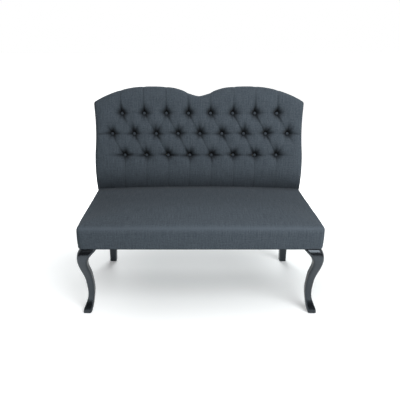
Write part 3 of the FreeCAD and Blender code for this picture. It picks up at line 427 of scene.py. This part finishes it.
def foldDepth(x, z):
    # folds from button to button, down to the seat, up to the top edge and out to the sides
    deep, shade = np.zeros_like(x), np.zeros_like(x)
    top, middle, low = rowPlaces.values()
    farOut, least = tufting["farOut"], tufting["clearLeast"]

    def press(kind, start, end, strengthOf, share=1, clear=1):  # adds one fold to the depth and its line to the painted shade
        fold = foldKinds[kind]
        groove, line, along = foldLine(x, z, start, end, *fold["widths"])
        strength = share * strengthOf(along)
        deep[:] += fold["depth"] * strength * groove
        shade[:] = np.maximum(shade, fold["dark"] * clear * strength * line)

    for k in range(8):
        # the fold that leans to the right going down is the sharp one, its upper flap lies over the lower
        for start, end in (
            ((middle[k + 1], rowMiddle), (top[k], rowTop)), ((low[k], rowLow), (middle[k], rowMiddle)),
        ):
            share = rng.uniform(0.6, 1.1)
            clear = least + (1 - least) * smoothStep(*tufting["clearSpan"], start[0])
            press("sharp", start, end, lambda along: spanned(along, 0.08, 0.5, 2), share, clear)
        for start, end in (
            ((middle[k], rowMiddle), (top[k], rowTop)), ((low[k], rowLow), (middle[k + 1], rowMiddle)),
        ):
            press("soft", start, end, lambda along: spanned(along, 0.12, 0.5, 2))
        press("hang", (low[k], rowLow), (low[k] + pleatLeans[k], backPad["low"]), pleated)
        press("rise", (top[k], rowTop), (top[k] + pleatLeans[k], farOut), pleated)
    for level, share in ((rowLow, 0.9), (rowMiddle, 0.25)):
        for bx in rowPlaces[level][:-1]:
            press("level", (bx + pitch, level), (bx, level), lambda along: spanned(along, 0.06, 0.35, 4), share)
    # at the sides two folds part from the middle row and run to the edge, and a short one runs out from the low row
    for level, offset, share, strengthOf in (
        (rowMiddle, -7, 0.8, runOut), (rowMiddle, 7, 0.8, runOut), (rowLow, 0, 0.6, runShort),
    ):
        row = rowPlaces[level]
        press("side", (row[0], level), (-farOut, level + offset), strengthOf, share)
        press("side", (farOut, level + offset), (row[-1], level), lambda along: strengthOf(1 - along), share)
    return deep, shade


def padFront(u, v):
    # across: share of the half width at that level; up: level plus the hump's rise in proportion; edges rolled back
    pad = backPad
    low, roll = pad["low"], pad["roll"]
    v, u = np.meshgrid(v, u, indexing="ij")
    level = low + v * (cornerZ - low)
    x = u * sideHalf(level)
    z = level + v * (topLevel(cornerX * u) - cornerZ)
    slopeTop = (topLevel(x + 1) - topLevel(x - 1)) / 2
    slopeSide = (sideHalf(z + 1) - sideHalf(z - 1)) / 2
    fromSide = (sideHalf(z) - np.abs(x)) / np.hypot(1, slopeSide)
    fromTop = (topLevel(x) - z) / np.hypot(1, slopeTop)
    over = [np.clip(roll - distance, 0, roll) for distance in (fromSide, fromTop, z - low)]
    e = np.minimum(sum(part ** 4 for part in over) ** 0.25, roll)
    y = roll - np.sqrt(roll ** 2 - e ** 2)
    inside = np.minimum(fromSide, fromTop)
    drawn = (1 - smoothStep(low, pad["tuckHeight"], z)) ** pad["tuckCurve"]
    y += pad["tuck"] * drawn * smoothStep(0, pad["rim"], inside)
    y -= pad["bow"] * smoothStep(0, pad["bowReach"], inside)
    return x, y, z, inside


def closedPad(x, y, z, steps):
    # the front's rim is carried straight back to the rear plane and closed there by one flat face
    index = np.arange(x.size).reshape(x.shape)
    loop = np.concatenate([index[0, :-1], index[:-1, -1], index[-1, :0:-1], index[:0:-1, 0]])
    front = np.stack([x.ravel(), y.ravel(), z.ravel()], -1)
    rings = np.repeat(front[loop][None], steps, 0)
    rings[..., 1] += np.linspace(0, 1, steps + 1)[1:, None] * (backPad["rear"] - rings[..., 1])
    wall = np.concatenate([loop[None], x.size + np.arange(steps * len(loop)).reshape(steps, -1)])
    wall = np.concatenate([wall, wall[:, :1]], 1)
    quads = np.concatenate([quadGrid(index), quadGrid(wall)[:, [0, 3, 2, 1]]])
    return np.concatenate([front, rings.reshape(-1, 3)]), quads, wall[-1, -2::-1], loop


def regrid(field, gridFrom, gridTo):  # bilinear: along each row, then up each column
    rows = np.stack([np.interp(gridTo[0], gridFrom[0], row) for row in field])
    return np.stack([np.interp(gridTo[1], gridFrom[1], column) for column in rows.T], 1)


def padGrid(steps):  # the two parameters of the front, -1 to 1 across and 0 to 1 up
    sizes = {"cell": steps["cell"], "roll": backPad["roll"], "steps": steps["rollSteps"]}
    return 2 * edgeSpaced(2 * cornerX, **sizes) - 1, edgeSpaced(backPad["tall"], **sizes)


def buildBack():
    pad = backPad
    # a coarse pad with the buttons pulled in is blown up as cloth, and its swelling is carried to the fine grid
    trial, fine = padGrid(pad["trial"]), padGrid(pad["fine"])
    x, y, z, inside = padFront(*trial)
    y = y + buttonHollows(x, z)[0] * smoothStep(0, pad["rim"], inside)
    points, quads, rear, loop = closedPad(x, y, z, pad["trial"]["wallSteps"])
    near = np.min([np.hypot(x - bx, z - bz) for bx, bz in buttonPlaces], 0)
    held = np.ones(len(points), bool)
    held[:x.size] = ((near < pad["heldButton"]) | (inside < pad["heldRim"]) | (z < pad["heldFoot"])).ravel()
    shift = swelling(points, quads.tolist() + [rear.tolist()], held, pad["feel"])[:x.size].reshape(*x.shape, 3)
    swell = [regrid(shift[..., axis], trial, fine) for axis in range(3)]

    x, y, z, inside = padFront(*fine)
    deep, shade = buttonHollows(x, z)
    folds, lines = foldDepth(x, z)
    kept = smoothStep(0, pad["rim"], inside)
    y = y + kept * (deep + folds + gentleNoise(x, z, *pad["ripple"]))
    # painted shade in the craters and along the fold lines, kept off the rim, and darker towards the seat
    foot = 1 - smoothStep(*pad["footSpan"], z) ** pad["footCurve"]
    paintedLight = np.clip(np.maximum(shade, lines) * kept + pad["footShade"] * foot, 0, 1).ravel()
    points, quads, rear, loop = closedPad(x + swell[0], y + swell[1], z + swell[2], pad["fine"]["wallSteps"])
    paintedLight = np.concatenate([paintedLight, np.tile(paintedLight[loop], pad["fine"]["wallSteps"])])
    # on the wall the cloth runs on to the rear, outwards from the middle
    cloth = points[:, [0, 2]]
    rim = points[loop]
    out = rim[:, [0, 2]] - np.array(pad["clothMiddle"])
    out /= np.linalg.norm(out, axis=1)[:, None]
    walls = points[x.size:].reshape(-1, len(loop), 3)
    cloth[x.size:] += (out[None] * (walls[..., 1] - rim[:, 1])[..., None]).reshape(-1, 2)
    corners = np.concatenate([quads.ravel(), rear])
    faces = quads.tolist() + [rear.tolist()]
    piece = makePiece("tufted_back", raked(*points.T), faces, slateLinen, cloth[corners], paintedLight)
    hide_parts("back_cover", "back_wadding", "back_foam")
    return len(faces)


print("tufted back:", buildBack(), "faces")


# covered buttons

buttonLook = {
    "half": 9.8, "height": 8.5, "seat": 34.5, "bend": 0.62, "shoulder": 0.85, "hub": 0.25,
    "gathers": 14, "gatherDepth": 0.35, "gatherSpan": (0.45, 1), "rings": 9, "around": 42,
    "shade": (0.28, 0.88), "shadeSpan": (0.25, 0.8),   # painted shade, from the top of the dome to its rim
}


def buildButtons():
    # a dome turned about y: flat top, round shoulder, tucked in below, with small gathers at the rim
    look = buttonLook
    s = np.linspace(0, 1, look["rings"])[:, None]
    turn = np.linspace(0, 2 * math.pi, look["around"], endpoint=False)[None, :]
    bend = s * math.pi * look["bend"]
    rim = smoothStep(*look["gatherSpan"], s)
    gather = 1 + look["gatherDepth"] / look["half"] * np.cos(look["gathers"] * turn) * rim
    radius = np.maximum(look["half"] * np.sin(bend) ** look["shoulder"], look["hub"]) * gather
    depth = look["seat"] - look["height"] * (0.5 + 0.5 * np.cos(bend)) + 0 * turn
    one = np.stack([radius * np.cos(turn), depth, radius * np.sin(turn)], -1).reshape(-1, 3)
    index = np.arange(radius.size).reshape(radius.shape)
    index = np.concatenate([index, index[:, :1]], 1)
    shift = np.array([(bx, 0, bz) for bx, bz in buttonPlaces])
    points = (one[None] + shift[:, None]).reshape(-1, 3)
    starts = (np.arange(len(shift)) * len(one))[:, None, None]
    quads = (quadGrid(index)[None] + starts).reshape(-1, 4)
    tops, feet = index[0, -2::-1][None] + starts[:, 0], index[-1, :-1][None] + starts[:, 0]
    faces = quads.tolist() + tops.tolist() + feet.tolist()
    corners = np.concatenate([quads.ravel(), tops.ravel(), feet.ravel()])
    # painted shade on the buttons, lighter on the top of the dome and darker at its rim
    light, dark = look["shade"]
    tone = light + (dark - light) * smoothStep(*look["shadeSpan"], s[:, 0])
    paintedLight = np.tile(np.repeat(tone, look["around"]), len(shift))
    cloth = points[corners][:, [0, 2]]
    piece = makePiece("covered_buttons", raked(*points.T), faces, slateLinen, cloth, paintedLight)
    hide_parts("tuft_buttons")


buildButtons()
print("buttons:", len(buttonPlaces))


# the seat, a crowned box with rounded edges and a step at the rear where the back stands

seatBox = {
    "half": 610, "front": -343.8, "bottom": 376, "edge": 496,
    "planRound": 26, "topRound": 34, "sideRound": 15, "footRound": 6, "bandBulge": 1.6, "bulgeTop": 0.85,
    "cornerRound": 22, "cornerReach": 110,        # the sides' rounding at the front corner, and how far it tapers off
    "crown": (8, 11, 15), "crownInset": 24,       # rise at the front, middle and rear
    "crownRise": (0.55, 1), "crownStart": (-6, 40),    # shares of the height, and mm from the front
    "meet": (13, 22), "shelf": -29.5, "rear": 94.5, "rearLow": -98.8,   # in the plane of the back
    "fine": {"cell": 9, "edgeCell": 3}, "trial": {"cell": 26, "edgeCell": 9}, "edgeBand": 36, "shelfSteps": 12,
    "trialRings": 9, "footRings": (0, 1, 2.5, 4.5, 7), "bandRings": (12, 84, 11), "edgeRings": (33, -0.1, -3),   # mm
    # painted highlight along the top edges, painted shade at the foot and towards the back
    "edgeHighlight": 0.4, "footShade": 0.55, "footReach": 7, "rearShade": 0.35, "rearReach": 90,
    "freeRise": (0.45, 1), "rearHeld": 40, "heldBelow": 0.02,      # where the cloth may swell
    "ripple": (160, 10, 0.5),                     # length in mm, number of waves, height in mm
    "feel": {"pressure": 0.2, "stretch": 60, "shear": 10, "bend": 4},
}


def spaced(low, high, cell, edgeCell):  # even cells with finer ones near both ends
    band = seatBox["edgeBand"]
    ends = np.arange(0, band, edgeCell)
    middle = np.linspace(low + band, high - band, int((high - low - 2 * band) / cell) + 1)
    return np.concatenate([low + ends, middle, high - ends[::-1]])


def seatShell(cells, rise):
    # a lattice box: plan corners, top edges and foot drawn in to quarter circles, the top lifted to a crown
    box = seatBox
    half, front, low, edge = box["half"], box["front"], box["bottom"], box["edge"]
    seatRear = raked(0.0, *box["meet"])[1]
    shelfEnds = [raked(0.0, depth, box["shelf"])[1:] for depth in (0, box["rear"])]
    rearLow = raked(0.0, box["rear"], box["rearLow"])[1]
    xs, ys = spaced(-half, half, **cells), spaced(front, seatRear, **cells)
    shelf = np.linspace(0, 1, box["shelfSteps"])[:, None]
    shelfTop = shelfEnds[0] * (1 - shelf) + shelfEnds[1] * shelf
    topY, topZ = np.concatenate([ys, shelfTop[:, 0]]), np.concatenate([np.full(len(ys), edge), shelfTop[:, 1]])
    footY = np.concatenate([ys, np.linspace(seatRear + 0.5, rearLow, box["shelfSteps"])])
    counts = (len(xs), len(topY), len(rise))
    number = np.arange(np.prod(counts)).reshape(counts)
    blocks = {
        "top": number[:, :, -1].T, "bottom": number[:, :, 0], "front": number[:, 0, :].T,
        "rear": number[::-1, -1, :].T, "right": number[-1, :, :].T, "left": number[0, ::-1, :].T,
    }
    sheets = {name: quadGrid(block) for name, block in blocks.items()}
    used, quads = np.unique(np.concatenate(list(sheets.values())), return_inverse=True)
    quads = quads.reshape(-1, 4)
    i, j, k = np.unravel_index(used, counts)
    t, ahead = rise[k], j < len(ys)
    x, y, top = xs[i].astype(float), footY[j] * (1 - t) + topY[j] * t, topZ[j]
    z = low + t * (top - low)
    flat = {"top": np.stack([x, y], -1), "front": np.stack([x, front - (edge - z)], -1), "right": np.stack([y, z], -1)}
    flat.update(bottom=flat["top"], rear=flat["front"], left=flat["right"])
    ends = np.cumsum([len(sheet) for sheet in sheets.values()])[:-1]
    cloth = np.concatenate([flat[name][part].reshape(-1, 2) for name, part in zip(sheets, np.split(quads, ends))])
    # front corners in plan
    r = box["planRound"]
    a, b = np.clip(np.abs(x) - (half - r), 0, None), np.clip(front + r - y, 0, None)
    spread = np.maximum(np.hypot(a, b), 1e-9)
    inCorner = (a > 0) & (b > 0)
    bySide = ~inCorner & (half - np.abs(x) < y - front)
    outX = np.where(inCorner, a / spread, bySide)
    outY = np.where(inCorner, b / spread, ~bySide)
    inward = np.where(inCorner, r - np.maximum(a, b), np.minimum(half - np.abs(x), y - front))
    draw = np.where(inCorner, np.maximum(a, b) / spread, 1)
    x = np.where(inCorner, np.sign(x) * (half - r + a * draw), x)
    y = np.where(inCorner, front + r - b * draw, y)
    # top edges, rounder in front than at the sides, then the foot where the cloth turns under
    side = box["sideRound"] + (box["cornerRound"] - box["sideRound"]) * smoothStep(box["cornerReach"], 0, y - front)
    r = box["topRound"] * outY ** 2 + side * outX ** 2
    p, q = np.clip(r - inward, 0, None), np.clip(r - (top - z), 0, None)
    spread = np.maximum(np.hypot(p, q), 1e-9)
    onEdge = (p > 0) & (q > 0) & ahead
    draw = np.where(onEdge, np.maximum(p, q) / spread, 1)
    z = np.where(onEdge, top - r + q * draw, z)
    r, onBand = box["footRound"], (inward < 0.5) * ahead
    under = np.clip(r - (z - low), 0, r)
    step = np.where(onEdge, p * (1 - draw), 0) + (r - np.sqrt(r ** 2 - under ** 2)) * onBand
    bulge = box["bandBulge"] * np.sin(math.pi * np.clip(t / box["bulgeTop"], 0, 1)) * onBand
    x, y = x - np.sign(x) * outX * (step - bulge), y + outY * (step - bulge)
    crown = np.interp((y - front) / (seatRear - front), (0, 0.5, 1), box["crown"])
    across = np.clip(1 - (x / (half - box["crownInset"])) ** 2, 0, 1)
    z = z + crown * across * smoothStep(*box["crownRise"], t) * smoothStep(*box["crownStart"], y - front) * ahead
    # painted highlight along the top edges, painted shade where the cloth turns under and towards the back
    paintedLight = box["footShade"] * smoothStep(box["footReach"], 0, z - low)
    paintedLight -= box["edgeHighlight"] * np.where(onEdge, 2 - 2 * draw * draw, 0)
    paintedLight += box["rearShade"] * smoothStep(seatRear - box["rearReach"], seatRear, y) ** 2 * (t > 0.9) * ahead
    return {
        "points": np.stack([x, y, z], -1), "quads": quads, "cloth": cloth, "paintedLight": paintedLight,
        "free": smoothStep(*box["freeRise"], t) * ahead * smoothStep(seatRear, seatRear - box["rearHeld"], y),
        "grid": (xs, ys), "place": (np.minimum(j, len(ys) - 1), i), "onTop": t * ahead > 0.99,
    }


def buildSeat():
    # a coarse shell is blown up as cloth, and the swelling of its top is carried to the fine shell
    box = seatBox
    trial = seatShell(box["trial"], np.linspace(0, 1, box["trialRings"]))
    shift = swelling(trial["points"], trial["quads"].tolist(), trial["free"] < box["heldBelow"], box["feel"])
    shift[:, 2] = np.maximum(shift[:, 2], 0)      # the wadding keeps the top from sinking
    tall = box["edge"] - box["bottom"]
    rings = [box["footRings"], np.linspace(*box["bandRings"]), tall - np.arange(*box["edgeRings"])]
    fine = seatShell(box["fine"], np.concatenate(rings) / tall)
    points, free = fine["points"], fine["free"]
    rows, columns = (part[trial["onTop"]] for part in trial["place"])
    for axis in range(3):
        field = np.zeros((len(trial["grid"][1]), len(trial["grid"][0])))
        field[rows, columns] = shift[trial["onTop"], axis]
        points[:, axis] += regrid(field, trial["grid"], fine["grid"])[fine["place"]] * free
    points[:, 2] += gentleNoise(points[:, 0], points[:, 1], *box["ripple"]) * free
    faces = fine["quads"].tolist()
    piece = makePiece("seat_cushion", points, faces, slateLinen, fine["cloth"], fine["paintedLight"])
    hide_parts("seat_cover", "seat_wadding", "seat_foam")
    return len(faces)


print("seat:", buildSeat(), "faces")


# thin cloths: the outside back, the dust cover under the seat and the felt on the springs

outsideBack = {"inset": 4, "depth": 88.4, "swell": 0.5, "cell": 12, "tall": 580, "thick": 1.0, "ripple": (240, 8, 0.15)}
levelCloths = {
    "dust_cover_cloth": {
        "node": "dust_cover", "material": dustCloth, "slot": "dust_cloth", "half": 594, "front": -327.8, "rear": 224.2,
        "level": 375.6, "sag": 3.5, "cell": 12, "thick": 0.8, "ripple": (130, 10, 0.35),
    },
    "spring_felt_pad": {
        "node": "spring_felt", "material": springFelt, "slot": "felt", "half": 587, "front": -333.8, "rear": 160.2,
        "level": 447.0, "sag": 2.0, "cell": 14, "thick": 3.6, "ripple": (130, 10, 0.35),
    },
}


def clothSheet(name, points, material, thick, cloth):
    # one layer of quads from a grid of points, given its thickness by Solidify
    quads = quadGrid(np.arange(points.shape[0] * points.shape[1]).reshape(points.shape[:2]))
    corners = cloth.reshape(-1, 2)[quads.ravel()]
    piece = makePiece(name, points.reshape(-1, 3), quads.tolist(), material, corners)
    solid = piece.modifiers.new("thickness", "SOLIDIFY")
    solid.thickness, solid.offset = thick * mm, 0
    return piece


def buildOutsideBack():
    # the outline of the back less an inset, spread as the front is, swelling a little to the rear in the middle
    spec = outsideBack
    u = np.linspace(1, -1, int(2 * cornerX / spec["cell"]))
    v = np.linspace(0, 1, int(spec["tall"] / spec["cell"]))
    v, u = np.meshgrid(v, u, indexing="ij")
    low, inset = backPad["low"], spec["inset"]
    level = low + v * (cornerZ - low)
    x = u * (sideHalf(level) - inset)
    z = level + v * (topLevel(cornerX * u) - inset - cornerZ)
    middle = np.clip(1 - u ** 2, 0, 1) * np.clip(4 * v * (1 - v), 0, 1)
    y = spec["depth"] + spec["swell"] * middle + gentleNoise(x, z, *spec["ripple"]) * middle
    points = raked(x, y, z)
    piece = clothSheet("outside_back_cloth", points, slateLinen, spec["thick"], np.stack([x, z], -1))
    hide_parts("outside_back_panel")


def buildLevelCloth(name, spec):
    # a flat sheet that sags as a sine both ways between its edges
    front, rear = spec["front"], spec["rear"]
    x = np.linspace(-spec["half"], spec["half"], int(2 * spec["half"] / spec["cell"]))
    y = np.linspace(front, rear, int((rear - front) / spec["cell"]))
    y, x = np.meshgrid(y, x, indexing="ij")
    across = np.sin(math.pi * (x / spec["half"] + 1) / 2)
    hang = np.clip(across * np.sin(math.pi * (y - front) / (rear - front)), 0, 1)
    z = spec["level"] - spec["sag"] * hang ** 0.6 + gentleNoise(x, y, *spec["ripple"]) * hang
    points = np.stack([x, y, z], -1)
    piece = clothSheet(name, points, spec["material"], spec["thick"], np.stack([x, y], -1))
    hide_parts(spec["node"])


buildOutsideBack()
for name, spec in levelCloths.items():
    buildLevelCloth(name, spec)
print("outside back, dust cover and spring felt ready")


# light, floor and camera

studio = {
    "world": 0.18, "roomFront": 0.08, "roomSpan": (-0.6, 0.1),
    "floor": "#F0F4F5", "floorHalf": 30,                                       # m
    "lift": 0.08, "leftLift": 0.18, "leftSpan": (-0.2, -0.8),                  # spans in m
    "farLift": 0.85, "farSpan": (0.12, 1.0), "farShape": (0.35, 1, 1), "farOffset": (0, -0.1, 0),
    "lamps": {
        "key": {"at": (1.5, -2.0, 2.6), "size": 2.4, "power": 85},
        "front": {"at": (-0.3, -2.8, 2.6), "size": 2.4, "power": 7},
        "rear": {"at": (0.0, 2.0, 2.25), "size": 2.0, "power": 58},
    },
    "aim": (0, 0, 0.55),
    "camera": {"at": (-0.05, -2.0778, 1.359), "pitch": 22.44, "sensor": 36.0, "lens": 36.0, "shift": 0.0242},
}


def seenDirectly(tree):  # 1 for rays that show the backdrop itself: from the camera, off gloss and through glass
    path = addNode(tree, "ShaderNodeLightPath").outputs
    seen = path["Is Camera Ray"]
    for name in ("Is Glossy Ray", "Is Transmission Ray"):
        seen = addNode(tree, "ShaderNodeMath", {"operation": "MAXIMUM"}, {0: seen, 1: path[name]}).outputs[0]
    return seen, path["Is Camera Ray"]


def buildWorld():
    # plain white light; seen directly it is white, and gloss sees a white wall behind and a dim room in front
    world = bpy.data.worlds.new("studio")
    scene.world = world
    world.use_nodes = True
    tree = world.node_tree
    seen, fromCamera = seenDirectly(tree)
    light = tree.nodes["Background"]
    light.inputs["Color"].default_value = (1, 1, 1, 1)
    light.inputs["Strength"].default_value = studio["world"]
    way = addNode(tree, "ShaderNodeTexCoord").outputs["Generated"]
    ahead = addNode(tree, "ShaderNodeSeparateXYZ", {}, {0: way}).outputs[1]
    low, high = studio["roomSpan"]
    span = {"From Min": low, "From Max": high, "To Min": studio["roomFront"], "To Max": 1.0}
    room = addNode(tree, "ShaderNodeMapRange", span, {0: ahead}).outputs[0]
    strength = addNode(tree, "ShaderNodeMath", {"operation": "MAXIMUM"}, {0: room, 1: fromCamera}).outputs[0]
    white = addNode(tree, "ShaderNodeBackground", {"Color": (1, 1, 1, 1)}, {"Strength": strength})
    mixed = addNode(tree, "ShaderNodeMixShader", {}, {0: seen, 1: light.outputs[0], 2: white.outputs[0]})
    tree.links.new(mixed.outputs[0], tree.nodes["World Output"].inputs["Surface"])


def buildFloor():
    # matt paper that keeps the shadow; seen directly it glows with painted light, a little everywhere,
    # more on the side away from the key, and in front and far off, where it fades to white
    paper, tree, shader = newMaterial("floor_paper", Roughness=0.95, Specular_IOR_Level=0.1)
    shader.inputs["Base Color"].default_value = linearColour(studio["floor"])
    seen = seenDirectly(tree)[0]
    place = addNode(tree, "ShaderNodeTexCoord").outputs["Object"]
    shape = {"operation": "MULTIPLY_ADD", 1: studio["farShape"], 2: studio["farOffset"]}
    squeezed = addNode(tree, "ShaderNodeVectorMath", shape, {0: place}).outputs[0]
    away = addNode(tree, "ShaderNodeVectorMath", {"operation": "LENGTH"}, {0: squeezed}).outputs["Value"]
    leftwards = addNode(tree, "ShaderNodeSeparateXYZ", {}, {0: place}).outputs[0]
    lifts = []
    for source, (near, far), low, high in (
        (leftwards, studio["leftSpan"], studio["lift"], studio["lift"] + studio["leftLift"]),
        (away, studio["farSpan"], 0, studio["farLift"]),
    ):
        ends = {"From Min": near, "From Max": far, "To Min": low, "To Max": high, "interpolation_type": "SMOOTHSTEP"}
        lifts.append(addNode(tree, "ShaderNodeMapRange", ends, {0: source}).outputs[0])
    lift = addNode(tree, "ShaderNodeMath", {"operation": "ADD"}, {0: lifts[0], 1: lifts[1]}).outputs[0]
    lifted = addNode(tree, "ShaderNodeMath", {"operation": "MULTIPLY"}, {0: seen, 1: lift}).outputs[0]
    glow = addNode(tree, "ShaderNodeEmission", {"Color": (1, 1, 1, 1)}, {"Strength": lifted}).outputs[0]
    both = addNode(tree, "ShaderNodeAddShader", {}, {0: shader.outputs[0], 1: glow}).outputs[0]
    tree.links.new(both, tree.nodes["Material Output"].inputs["Surface"])
    mesh = bpy.data.meshes.new("floor")
    half = studio["floorHalf"]
    mesh.from_pydata([(-half, -half, 0), (half, -half, 0), (half, half, 0), (-half, half, 0)], [], [(0, 1, 2, 3)])
    mesh.materials.append(paper)
    floor = bpy.data.objects.new("floor", mesh)
    scene.collection.objects.link(floor)


def buildLamps():  # round soft boxes, each turned to the aim
    for name, lamp in studio["lamps"].items():
        data = bpy.data.lights.new(name, "AREA")
        data.shape, data.size, data.energy = "DISK", lamp["size"], lamp["power"]
        lampObject = bpy.data.objects.new(name, data)
        lampObject.location = lamp["at"]
        aim = np.subtract(studio["aim"], lamp["at"])
        tilt = math.acos(-aim[2] / np.linalg.norm(aim))
        lampObject.rotation_euler = (tilt, 0, math.atan2(aim[1], aim[0]) - math.pi / 2)
        scene.collection.objects.link(lampObject)


def buildCamera():  # the photo's camera, worked out from its edges
    shot = studio["camera"]
    data = bpy.data.cameras.new("camera")
    data.sensor_width, data.lens, data.shift_x = shot["sensor"], shot["lens"], shot["shift"]
    camera = bpy.data.objects.new("camera", data)
    camera.location = shot["at"]
    camera.rotation_euler = (math.radians(90 - shot["pitch"]), 0, 0)
    scene.collection.objects.link(camera)
    scene.camera = camera
    scene.view_settings.view_transform = "Standard"


buildWorld()
buildFloor()
buildLamps()
buildCamera()
print("studio ready")
